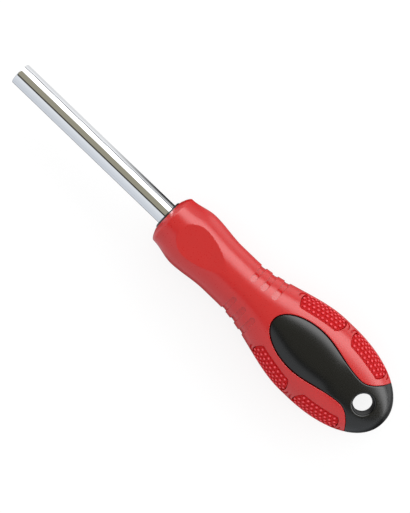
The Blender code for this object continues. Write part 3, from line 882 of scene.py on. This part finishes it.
@dataclass
class StudPad:
    """A studded pad of deeper red rubber, set in a pocket of the sleeve."""

    end: End
    side: Side
    face: Face
    form: HandleForm = FORM
    pad_cells: int = 36
    pocket_cells: int = 30
    cells_across: int = 16
    half_length: float = 11.0 * MM
    inner_angle: float = 41.6 * DEGREE
    outer_angle: float = 78.0 * DEGREE
    drift: float = 3.2 * DEGREE
    pocket_depth: float = 1.75 * MM
    field_depth: float = 0.55 * MM
    gap: float = 0.16 * MM
    lip: float = 0.35 * MM
    # The rounding of the pocket's lip from inside to outside, as shares of it (out, down)
    pocket_rim: Pairs = ((0.0, 1.0), (0.1, 0.55), (0.35, 0.24), (0.75, 0.05), (1.5, -0.12), (1.6, -2.0))
    edge_round: float = 0.25 * MM
    stud_radius: float = 0.7 * MM
    stud_height: float = 0.6 * MM
    stud_sunk: float = 0.1 * MM
    stud_pitch: float = 2.06 * MM
    stud_segments: int = 12
    stud_rings: int = 8
    # The rows of studs, as (angle in degrees, how many)
    rows: Sequence[tuple[float, int]] = ((46.4, 8), (53.7, 9), (61.0, 10), (68.2, 9), (75.0, 8))
    # How far the pad reaches either way from its middle, from the window side to the outer side
    reach: Pairs = (
        (0.0, 0.71), (0.03, 0.76), (0.08, 0.8), (0.2, 0.86), (0.3, 0.9), (0.42, 0.925),
        (0.6, 0.93), (0.75, 0.905), (0.87, 0.86), (0.95, 0.81), (0.985, 0.77), (1.0, 0.71))
    # The horn that runs on from each outer corner and bends inward, as (mm along, angle in degrees)
    horn: Pairs = (
        (8.0, 74.5), (9.3, 74.0), (10.3, 72.4), (11.0, 69.4), (11.45, 65.4), (11.6, 61.0), (11.5, 56.8))
    horn_half_width: float = 0.52 * MM
    horn_taper: float = 0.2
    horn_tip_power: int = 6
    # The share of the way along the horn over which its direction is taken, and its cells
    horn_step: float = 0.05
    horn_cells: tuple[int, int] = (4, 28)
    horn_depth: float = 0.28 * MM
    horn_slack: float = 0.02 * MM
    groove_depth: float = 0.5 * MM
    groove_slack: float = 0.05 * MM
    groove_overrun: float = 0.4 * MM

    @property
    def middle(self) -> float:
        """The distance back of the pad's middle."""
        return {End.FRONT: 71.8 * MM, End.REAR: 96.7 * MM}[self.end]

    @property
    def slug(self) -> str:
        """The end, side and face as part of a name."""
        return "_".join((self.end.value, self.side.name.lower(), self.face.name.lower()))

    def half_at(self, share: float) -> float:
        """Return how far the pad reaches along at a share of the way across."""
        return self.half_length * float(np.interp(share, *zip(*self.reach)))

    def flipped(self, point: Vector) -> Vector:
        """Turn a point or a direction of the upper left quarter to the pad's own quarter."""
        return Vector((point.x, self.side.value * point.y, self.face.value * point.z))

    def lean(self, u: float, share: float) -> float:
        """Return how far the far end of the pad leans in towards the window, as an angle."""
        far = {End.FRONT: -1.0, End.REAR: 1.0}[self.end] * u
        return self.drift * (1.0 - share) * (1.0 + far) / 2.0

    def place(self, u: float, v: float, growth: float, depth: float) -> Vector:
        """Return a point on the pad.

        Args:
            u: place along the pad, from -1 to 1.
            v: place across the pad, from -1 at the window side to 1.
            growth: how far the outline is grown.
            depth: how far the point lies under the skin.
        """
        share = (v + 1.0) / 2.0
        sweep = self.outer_angle - self.inner_angle
        angle = self.inner_angle + sweep * share + v * growth / self.form.half_width(self.middle)
        angle -= self.lean(u, share)
        here = self.middle + u * (self.half_at(share) + growth)
        return self.flipped(self.form.point(here, angle, depth))

    def stepped(self, name: str, columns: int, steps: Pairs) -> Piece:
        """Model a piece with the pad's outline, level by level as (growth, depth)."""

        def rule(u: float, v: float, level: float) -> Vector:
            return self.place(u, v, *steps[round(level)])

        return bent_slab(name, columns, self.cells_across, rule, len(steps) - 1)

    def pocket_cutter(self) -> Piece:
        """Make the cutter of the pocket, which widens near the skin to round the pocket's lip."""
        rim = [(out * self.lip, down * self.lip) for out, down in self.pocket_rim]
        return self.stepped("pocket_cutter", self.pocket_cells, [(0.0, self.pocket_depth)] + rim)

    def horn_slab(self, way: int, growth: float, top: float, bottom: float) -> Piece:
        """Make the thin horn that runs on from an outer corner of the pad, or its groove's cutter.

        Args:
            way: 1 for the rear corner, -1 for the front one.
            growth: how far the outline is grown.
            top: how far the upper side lies under the skin.
            bottom: how far the lower side lies under the skin.
        """
        spots = np.array(self.horn)
        numbers = np.arange(len(spots))

        def spot(share: float) -> tuple[float, float]:
            """Return the distance back and the angle a share of the way along the horn."""
            along, turn = (float(np.interp(share * numbers[-1], numbers, column)) for column in spots.T)
            return self.middle + way * along * MM, turn * DEGREE

        def rule(u: float, v: float, level: float) -> Vector:
            share = (v + 1.0) / 2.0
            before, middle, after = (self.form.point(*spot(min(max(share + step, 0.0), 1.0)))
                                     for step in (-self.horn_step, 0.0, self.horn_step))
            normal = self.form.normal(*spot(share))
            taper = math.sqrt(max(1.0 - share ** self.horn_tip_power, 0.0)) * (1.0 - self.horn_taper * share)
            aside = (after - before).cross(normal).normalized()
            return self.flipped(middle + aside * (u * (self.horn_half_width * taper + growth))
                                - normal * (top if level > 0.5 else bottom))

        return bent_slab("horn", *self.horn_cells, rule)

    def horn_grooves(self) -> list[Piece]:
        """Make the cutters of the grooves that the horns lie in."""
        return [self.horn_slab(way, self.groove_slack, -self.groove_overrun, self.groove_depth)
                for way in (1, -1)]

    def horns(self) -> list[Piece]:
        """Make the horns themselves, a little smaller than their grooves."""
        return [self.horn_slab(way, -self.horn_slack, self.horn_depth, self.groove_depth - self.groove_slack)
                for way in (1, -1)]

    def stud(self) -> Piece:
        """Model one stud, a low dome of a few dozen faces, standing up along Z."""
        height = self.stud_height + self.stud_sunk
        stud = primitive(bpy.ops.mesh.primitive_uv_sphere_add, "stud", segments=self.stud_segments,
                         ring_count=self.stud_rings, radius=1.0)
        with editing(stud):
            bpy.ops.mesh.bisect(plane_co=(0.0, 0.0, -0.01), plane_no=(0.0, 0.0, 1.0),
                                clear_inner=True, use_fill=True)
        stud.data.transform(Matrix.Diagonal((self.stud_radius, self.stud_radius, height, 1.0)))
        marks = stud.data.attributes.new(RELIEF, "FLOAT", "POINT")
        for corner, mark in zip(stud.data.vertices, marks.data):
            mark.value = corner.co.z / height
        return stud

    def stud_places(self) -> Iterator[tuple[float, float]]:
        """Yield the distance back and the angle of each stud."""
        for degrees, count in self.rows:
            angle = degrees * DEGREE
            share = (angle - self.inner_angle) / (self.outer_angle - self.inner_angle)
            for index in range(count):
                along = (index - (count - 1) / 2.0) * self.stud_pitch
                yield self.middle + along, angle - self.lean(along / self.half_length, share)

    def studs(self) -> list[Piece]:
        """Stand a copy of the stud at each of its places."""
        model = self.stud()
        copies = []
        for back, angle in self.stud_places():
            foot = self.flipped(self.form.point(back, angle, self.field_depth + self.stud_sunk))
            upright = self.flipped(self.form.normal(back, angle)).to_track_quat("Z", "Y").to_matrix().to_4x4()
            copy = add_object("stud_copy", model.data.copy())
            copy.data.transform(Matrix.Translation(foot) @ upright)
            copies.append(copy)
        bpy.data.objects.remove(model, do_unlink=True)
        return copies

    def build(self) -> Piece:
        """Make the pad, with a rounded edge and its studs."""
        edge, field = self.edge_round, self.field_depth
        pad = self.stepped("grip_pad_" + self.slug + "_moulding", self.pad_cells, (
            (-self.gap, self.pocket_depth - self.gap / 2.0), (-self.gap, field + edge),
            (-0.3 * edge - self.gap, field + 0.3 * edge), (-edge - self.gap, field)))
        join([pad] + self.horns() + self.studs())
        smooth(pad, degrees=45.0)
        return pad


@dataclass
class HandleCore:
    """The hard black moulding: the nose ring, the body under the sleeve, the windows and the butt."""

    form: HandleForm = FORM
    edge_round: float = 0.5 * MM
    crown_fall: float = 0.7 * MM
    crown_reach: float = 6.5 * MM
    crown_end: float = 88.0 * MM
    crown_runout: float = 10.0 * MM
    # Rows of corners on the flare, the dome, the nose and the body, and columns from border to border
    flare_rows: int = 26
    dome_rows: int = 30
    nose_rows: int = 6
    body_rows: int = 40
    columns: int = 60
    nose_radius: float = 6.7 * MM
    nose_proud: float = 0.1 * MM
    nose_round: float = 1.4 * MM
    nose_fall: float = 0.8 * MM
    bore_radius: float = 4.87 * MM
    bore_depth: float = 62.3 * MM
    overrun: float = 5.0 * MM
    body_depth: float = 3.3 * MM
    body_front: float = 3.7 * MM
    body_rear: float = 106.5 * MM
    hang_back: float = 108.3 * MM
    hang_waist_radius: float = 3.9 * MM
    hang_radius: float = 4.4 * MM
    hang_round: float = 1.0 * MM
    # Near the butt's edge the rim keeps at least this share of the skin's height
    hang_least: float = 0.3
    # The rounding of the hole's rim from inside to outside, as shares of it (out, down)
    hang_rim: Pairs = ((0.0, 1.0), (0.03, 0.75), (0.13, 0.5), (0.32, 0.26), (0.6, 0.08), (1.0, 0.0),
                       (1.6, -0.1), (1.7, -3.0))

    def __post_init__(self) -> None:
        self.outline = WindowOutline(self.form)
        self.path = self.outline.path()

    def stations(self) -> list[float]:
        """Return the places of the block's rows of corners, from the window's tip to the butt."""
        dome = self.form.length - self.form.belly_rear
        start = math.asin((self.outline.meet() - self.form.belly_rear) / dome)
        return (self.outline.stations(self.flare_rows)
                + [self.form.belly_rear + dome * math.sin(turn)
                   for turn in spread(start, QUARTER, self.dome_rows)]
                + [self.form.length])

    def sunk(self, back: float, distance: float) -> float:
        """Return how far the window has fallen away at a distance from its border.

        Args:
            back: distance back from the front face. The soft crown runs out before the hang hole.
            distance: distance from the border.
        """
        left = max(1.0 - distance / self.crown_reach, 0.0)
        fall = eased(self.crown_fall, 0.0, (back - self.crown_end) / self.crown_runout)
        return fall * left * left + rounded_edge(distance, self.edge_round)

    def block(self) -> Piece:
        """Make the two windows and the butt as one block with rounded rims."""
        stations = self.stations()

        def rule(u: float, v: float, level: float) -> Vector:
            back, column = slab_place(u, v, stations, self.columns)
            border = self.outline.border_angle(back)
            angle = fan(-border, border, self.form.half_width(back), self.columns, column)
            point = self.form.point(back, angle)
            sunk = self.sunk(back, self.outline.distance(back, point.y, self.path))
            height = point.z - min(sunk, point.z / 2.0)
            return Vector((point.x, point.y, height if level > 0.5 else -height))

        return bent_slab("handle_core_moulding", len(stations) - 1, self.columns, rule)

    def hang_cutter(self) -> Piece:
        """Make the cutter of the hang hole, which flares at both faces to round the hole's rims."""
        steps = [(self.hang_radius + out * self.hang_round, down * self.hang_round)
                 for out, down in self.hang_rim]
        levels = [(radius, drop, 1.0) for radius, drop in reversed(steps)]
        levels += [(self.hang_waist_radius, 0.0, 0.0)]
        levels += [(radius, drop, -1.0) for radius, drop in steps]
        cutter = primitive(bpy.ops.mesh.primitive_cylinder_add, "hang_cutter", vertices=FINE_SIDES,
                           radius=1.0, depth=1.0)
        cutter.data.transform(Matrix.Translation((0.0, 0.0, 0.5)))
        with editing(cutter, lambda face: face.normal.z > 0.9):
            extrude(len(levels) - 2)

        def rule(across: float, along: float, level: float) -> Vector:
            radius, drop, face = levels[len(levels) - 1 - round(level)]
            back = self.hang_back - radius * across
            y = radius * along
            height = self.form.height(min(back, self.form.length), y)
            return Vector((self.form.face_x - back, y, face * max(height - drop, self.hang_least * height)))

        shape(cutter, rule)
        close_seams(cutter)
        return cutter

    def body(self) -> Piece:
        """Make the nose ring and the body that the sleeve covers."""
        front = self.form.face_x + self.nose_proud
        nose = [(front - self.nose_fall * (1.0 - math.sin(turn)),
                 self.nose_radius - self.nose_round * (1.0 - math.cos(turn)))
                for turn in (QUARTER - value for value in spread(0.0, QUARTER, self.nose_rows))]
        backs = spread(self.body_front, self.body_rear, self.body_rows) + [self.body_rear]
        profile = [(front, 0.0)] + nose + [(self.form.face_x - self.body_front, self.nose_radius)]
        profile += [(self.form.face_x - back, self.form.half_width(back) - self.body_depth) for back in backs]
        profile.append((self.form.face_x - self.body_rear, 0.0))
        piece = turned("handle_core_body", profile)
        for corner in piece.data.vertices:
            radius = math.hypot(corner.co.y, corner.co.z)
            if radius > self.nose_radius + MERGE:
                corner.co = self.form.point(self.form.face_x - corner.co.x,
                                            math.atan2(corner.co.y, corner.co.z), self.body_depth)
        return piece

    def build(self) -> Piece:
        """Make the core with its bore for the shaft and its hang hole."""
        pieces = [self.block(), self.body()]
        for piece in pieces:
            cut(piece, self.hang_cutter())
            cut(piece, bar("bore_cutter", self.form.face_x + self.overrun, self.form.face_x - self.bore_depth,
                           self.bore_radius))
        core = join(pieces)
        smooth(core, degrees=38.0)
        return core


@dataclass
class BitShaft:
    """The chromed bar with its hex socket, and the wings that hold it in the handle."""

    tip_x: float = 11.0 * MM
    radius: float = 4.75 * MM
    rear_x: float = -133.5 * MM
    tip_round: float = 0.4 * MM
    hex_across_flats: float = 6.45 * MM
    lead_in: float = 0.5 * MM
    pocket_radius: float = 2.9 * MM
    pocket_front: float = 5.0 * MM
    pocket_depth: float = 4.3 * MM
    ring_x: float = 7.0 * MM
    ring_groove_radius: float = 4.15 * MM
    ring_groove_half: float = 0.65 * MM
    wing_front_x: float = -118.5 * MM
    wing_length: float = 9.0 * MM
    wing_half_width: float = 6.9 * MM
    wing_thickness: float = 3.0 * MM
    wing_slope: float = 2.0 * MM
    wing_round: float = 0.4 * MM
    overrun: float = 2.0 * MM
    sides: int = 120
    round_steps: int = 6
    rows: int = 24

    def wings(self) -> Piece:
        """Make the pressed wings as one flat bar with sloping ends."""
        piece = primitive(bpy.ops.mesh.primitive_cube_add, "wings", size=2.0)

        def rule(u: float, v: float, level: float) -> Vector:
            middle = self.wing_front_x - self.wing_length / 2.0
            return Vector((middle + u * (self.wing_length / 2.0 - self.wing_slope),
                           v * self.wing_half_width, level * self.wing_thickness / 2.0))

        shape(piece, rule)
        with editing(piece):
            bpy.ops.mesh.bevel(offset=self.wing_round, segments=2, affect="EDGES")
        return piece

    def build(self) -> Piece:
        """Turn the bar, press its wings and broach its socket."""
        round_start = self.tip_x - self.tip_round
        profile = [(self.tip_x, 0.0)]
        profile += [(round_start + self.tip_round * math.cos(turn),
                     self.radius - self.tip_round + self.tip_round * math.sin(turn))
                    for turn in spread(0.0, QUARTER, self.round_steps)]
        rear_start = self.rear_x + self.tip_round
        stops = spread(round_start, rear_start, self.rows) + [rear_start]
        profile += [(x, self.radius) for x in stops]
        profile += [(self.rear_x, self.radius - self.tip_round), (self.rear_x, 0.0)]
        shaft = turned("shaft_bar", profile, self.sides)
        cut(shaft, self.wings(), "UNION")
        corner = self.hex_across_flats / math.sqrt(3.0)
        front = self.tip_x + self.overrun
        mouth = corner + self.lead_in / 2.0 + self.overrun
        cone = primitive(bpy.ops.mesh.primitive_cone_add, "lead_in_cutter", vertices=FINE_SIDES, radius1=0.0,
                         radius2=mouth, depth=mouth)
        cut(shaft, bar("hex_cutter", front, 0.0, corner, 6))
        cut(shaft, lay_down(cone, front - mouth / 2.0))
        cut(shaft, bar("ring_groove_cutter", self.ring_x + self.ring_groove_half,
                       self.ring_x - self.ring_groove_half, self.ring_groove_radius))
        cut(shaft, bar("magnet_pocket_cutter", self.pocket_front, -self.pocket_depth, self.pocket_radius))
        smooth(shaft, degrees=30.0)
        return shaft


@dataclass
class BitMagnet:
    """The round magnet that holds the bit."""

    radius: float = 2.6 * MM
    length: float = 4.0 * MM
    edge: float = 0.2 * MM
    round_steps: int = 4

    def build(self) -> Piece:
        """Turn the magnet with rounded edges."""
        front = [(self.edge * (math.cos(turn) - 1.0), self.radius + self.edge * (math.sin(turn) - 1.0))
                 for turn in spread(0.0, QUARTER, self.round_steps) + [QUARTER]]
        rear = [(-self.length - x, radius) for x, radius in reversed(front)]
        magnet = turned("bit_magnet_plated", [(0.0, 0.0)] + front + rear + [(-self.length, 0.0)])
        smooth(magnet, degrees=40.0)
        return magnet


@dataclass
class RetainingRing:
    """The open ring of spring wire that snaps into the notches of a bit."""

    x: float = 7.0 * MM
    radius: float = 3.5 * MM
    wire_radius: float = 0.35 * MM
    gap_angle: float = 40.0 * DEGREE
    segments: int = 108
    wire_segments: int = 14

    def build(self) -> Piece:
        """Make a full ring and open it."""
        ring = primitive(bpy.ops.mesh.primitive_torus_add, "bit_retaining_ring_wire",
                         major_radius=self.radius, minor_radius=self.wire_radius,
                         major_segments=self.segments, minor_segments=self.wire_segments)
        lay_down(ring, self.x)
        half_gap = self.gap_angle / 2.0
        with editing(ring, lambda face: abs(math.atan2(face.center.y, face.center.z)) < half_gap):
            bpy.ops.mesh.delete(type="FACE")
            bpy.ops.mesh.select_all(action="SELECT")
            bpy.ops.mesh.fill_holes(sides=0)
        close_seams(ring)
        smooth(ring, degrees=50.0)
        return ring


@dataclass(frozen=True)
class PaintedFloorShadow:
    """A painted shadow on the floor that gloss alone sees, fading out by stops in millimetres.

    The stops across are (distance towards +Y, depth of shade), and each run along is a smooth
    change between two places on X, as (start, end, shade at the start, shade at the end).
    """

    across: Pairs
    along: Sequence[tuple[float, float, float, float]]
    # The colour of the painted shadow
    tone: str = "#201E1D"


@dataclass
class Studio:
    """The floor, the light and the camera."""

    floor_size: float = 6.0
    floor_gap: float = 0.2 * MM
    paper: str = "#F4F4F4"
    floor_lift: float = 0.8
    axis_along: float = 0.7212
    axis_across: float = 0.6927
    roll: float = 3.05 * DEGREE
    distance: float = 0.75
    aim: tuple[float, float, float] = (-93.15 * MM, 1.67 * MM, 0.0)
    lens: float = 131.6
    sensor: float = 36.0
    # What the bar mirrors, as the angle from straight up towards +Y, the colour and its level
    bands: Sequence[tuple[float, str, float]] = (
        (-180.0, "#FFFFFF", 0.9), (-92.5, "#FFFFFF", 0.9), (-91.0, "#55565A", 1.0), (-81.5, "#55565A", 1.0),
        (-79.5, "#FFFFFF", 1.3), (-75.0, "#FFFFFF", 4.4), (-46.0, "#FFFFFF", 4.4), (-36.0, "#FFFFFF", 1.8),
        (-32.0, "#A29D8A", 1.0),
        (16.0, "#A29D8A", 1.0), (18.0, "#3A3733", 1.0), (29.0, "#3A3733", 1.0), (32.0, "#F2F5F8", 1.0),
        (70.0, "#E2E6EB", 1.0), (90.0, "#E0E4E9", 1.0), (180.0, "#FFFFFF", 0.9))
    top_level: float = 4.4
    # Most of the light that the matt surfaces get comes evenly from all round
    even_share: float = 0.98
    even_level: float = 1.0
    # Painted reflection: what gloss alone sees of the floor, by the distance in mm towards +Y, its colour and
    # level; the grey strip beside the bar is a painted shadow
    painted_gloss_floor: Sequence[tuple[float, str, float]] = (
        (-160.0, "#FFFFFF", 1.2), (-1.0, "#FFFFFF", 1.2), (1.0, "#6E6F73", 1.0), (13.0, "#6E6F73", 1.0),
        (17.0, "#DADEE4", 1.0), (60.0, "#DADEE4", 1.0))
    painted_gloss_level: float = 1.2
    # Painted shadows on the floor for gloss alone: beside the bar near the handle, and under the handle
    painted_shadows: Sequence[PaintedFloorShadow] = (
        PaintedFloorShadow(((-160.0, 0.38), (-45.0, 0.71), (-22.0, 1.0), (-2.0, 1.0), (0.0, 0.0), (60.0, 0.0)),
                   ((-28.0, -64.0, 0.3, 1.0), (-72.0, -84.0, 1.0, 0.0))),
        PaintedFloorShadow(((-44.0, 0.0), (-28.0, 0.8), (28.0, 0.8), (44.0, 0.0)), ((-72.0, -82.0, 0.0, 1.0),)))
    fill_power: float = 0.6
    fill_size: float = 0.7
    fill_place: tuple[float, float, float] = (-94.0 * MM, 0.0, 0.9)

    def build_world(self) -> None:
        """Light the object from a ring of bands round its axis, and show the camera plain white."""
        world = bpy.data.worlds.new("studio_bands")
        world.use_nodes = True
        tree = world.node_tree
        tree.nodes.clear()
        place = add_node(tree, "ShaderNodeTexCoord")
        parts = add_node(tree, "ShaderNodeSeparateXYZ", {0: place.outputs["Generated"]})
        ring = colour_ramp(tree, calculate(tree, "ARCTAN2", parts.outputs[1], parts.outputs[2]), DEGREE,
                           [(turn, colour(code, level / self.top_level)) for turn, code, level in self.bands])
        lit, even, white = (
            add_node(tree, "ShaderNodeBackground", {"Color": tone, "Strength": level}).outputs[0]
            for tone, level in ((ring, self.top_level), (WHITE, self.even_level), (WHITE, 1.0)))
        softened = mix_by_ray(tree, "Is Diffuse Ray", self.even_share, lit, even)
        mixed = mix_by_ray(tree, "Is Camera Ray", 1.0, softened, white)
        add_node(tree, "ShaderNodeOutputWorld", {"Surface": mixed})
        bpy.context.scene.world = world

    def painted_gloss_colour(self, tree: Tree, place: Socket) -> Socket:
        """Return the painted reflection that gloss sees of the floor: strips along the bar, the grey one a
        painted shadow, and painted shadow by the handle.
        """
        parts = add_node(tree, "ShaderNodeSeparateXYZ", {0: place})
        plain = colour_ramp(tree, parts.outputs[1], MM,
                            [(at, colour(code, level / self.painted_gloss_level)) for at, code, level in self.painted_gloss_floor])
        for shade in self.painted_shadows:
            depth = colour_ramp(tree, parts.outputs[1], MM,
                                [(at, (level, level, level, 1.0)) for at, level in shade.across])
            for start, end, first, last in shade.along:
                run = remap(tree, parts.outputs[0], start * MM - self.aim[0], end * MM - self.aim[0],
                            first, last, "SMOOTHSTEP")
                depth = calculate(tree, "MULTIPLY", depth, run)
            plain = mix_colours(tree, depth, plain, colour(shade.tone))
        return plain

    def build_floor(self) -> None:
        """Lay a white floor under the tool. The camera sees it lifted towards white, with its shadow."""
        low = CAD_BOX[0][2] - self.floor_gap
        floor = primitive(bpy.ops.mesh.primitive_plane_add, "studio_floor", size=self.floor_size,
                          location=(self.aim[0], 0.0, low))
        material, tree, place = new_material("white_paper_floor")
        paper = add_node(tree, "ShaderNodeBsdfDiffuse", {"Color": colour(self.paper)}).outputs[0]
        glow, painted_gloss = (add_node(tree, "ShaderNodeEmission", {"Color": tone, "Strength": level}).outputs[0]
                      for tone, level in ((WHITE, 1.0), (self.painted_gloss_colour(tree, place), self.painted_gloss_level)))
        mixed = mix_by_ray(tree, "Is Camera Ray", self.floor_lift, paper, glow)
        # Gloss sees the floor glow with the painted reflection and painted shadows, not with the light that
        # falls on it
        shown = mix_by_ray(tree, "Is Glossy Ray", 1.0, mixed, painted_gloss)
        add_node(tree, "ShaderNodeOutputMaterial", {"Surface": shown})
        floor.data.materials.append(material)

    def build_fill(self) -> None:
        """Hang a soft lamp overhead. Nothing mirrors it, as under a crossed filter."""
        lamp = bpy.data.lights.new("fill_lamp", "AREA")
        lamp.energy = self.fill_power
        lamp.size = self.fill_size
        holder = add_object("fill_lamp", lamp)
        place = Vector(self.fill_place)
        turn = (place - Vector((self.aim[0], 0.0, 0.0))).to_track_quat("Z", "Y")
        holder.matrix_world = Matrix.Translation(place) @ turn.to_matrix().to_4x4()
        holder.visible_glossy = False

    def build_camera(self) -> None:
        """Look down on the window face as the photograph does."""
        tilt = Vector((0.0, math.cos(self.roll), math.sin(self.roll)))
        towards = Vector((0.0, -math.sin(self.roll), math.cos(self.roll)))
        axis = Vector((1.0, 0.0, 0.0))
        right = -self.axis_along * axis - self.axis_across * tilt
        up = self.axis_across * axis - self.axis_along * tilt
        data = bpy.data.cameras.new("camera")
        data.lens = self.lens
        data.sensor_width = self.sensor
        data.clip_start = 0.01
        camera = add_object("camera", data)
        turn = Matrix((right, up, towards)).transposed().to_4x4()
        camera.matrix_world = Matrix.Translation(Vector(self.aim) + towards * self.distance) @ turn
        bpy.context.scene.camera = camera

    def build(self) -> None:
        """Set the whole stage."""
        self.build_world()
        self.build_floor()
        self.build_fill()
        self.build_camera()
        bpy.context.scene.view_settings.view_transform = "Standard"


def dress(piece: Piece, material: bpy.types.Material, node: str) -> None:
    """Give a piece its material and let it stand for a CAD node.

    Args:
        piece: the finished piece.
        material: its material.
        node: the name of the node that it stands for.
    """
    piece.data.materials.clear()
    piece.data.materials.append(material)
    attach(piece, "root")
    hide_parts(node)
    LOG.info("%s: %d faces, stands for %s", piece.name, len(piece.data.polygons), node)


def main() -> None:
    """Build every piece, dress it and set the stage."""
    logging.basicConfig(level=logging.INFO, format="%(message)s")
    pads = [StudPad(end, side, face) for end in End for side in Side for face in Face]
    dress(BitShaft().build(), CHROME_PLATE.material(), "shaft")
    dress(BitMagnet().build(), NICKEL_PLATE.material(), "bit_magnet")
    dress(RetainingRing().build(), SPRING_STEEL.material(), "bit_retaining_ring")
    dress(HandleCore().build(), BLACK_POLYPROPYLENE.material(), "handle_core")
    dress(GripSleeve().build(pads), SOFT_RED_RUBBER.material(), "grip_sleeve")
    rubber = DEEP_RED_RUBBER.material()
    for pad in pads:
        dress(pad.build(), rubber, "grip_pad_" + pad.slug)
    Studio().build()


if __name__ == "__main__":
    main()
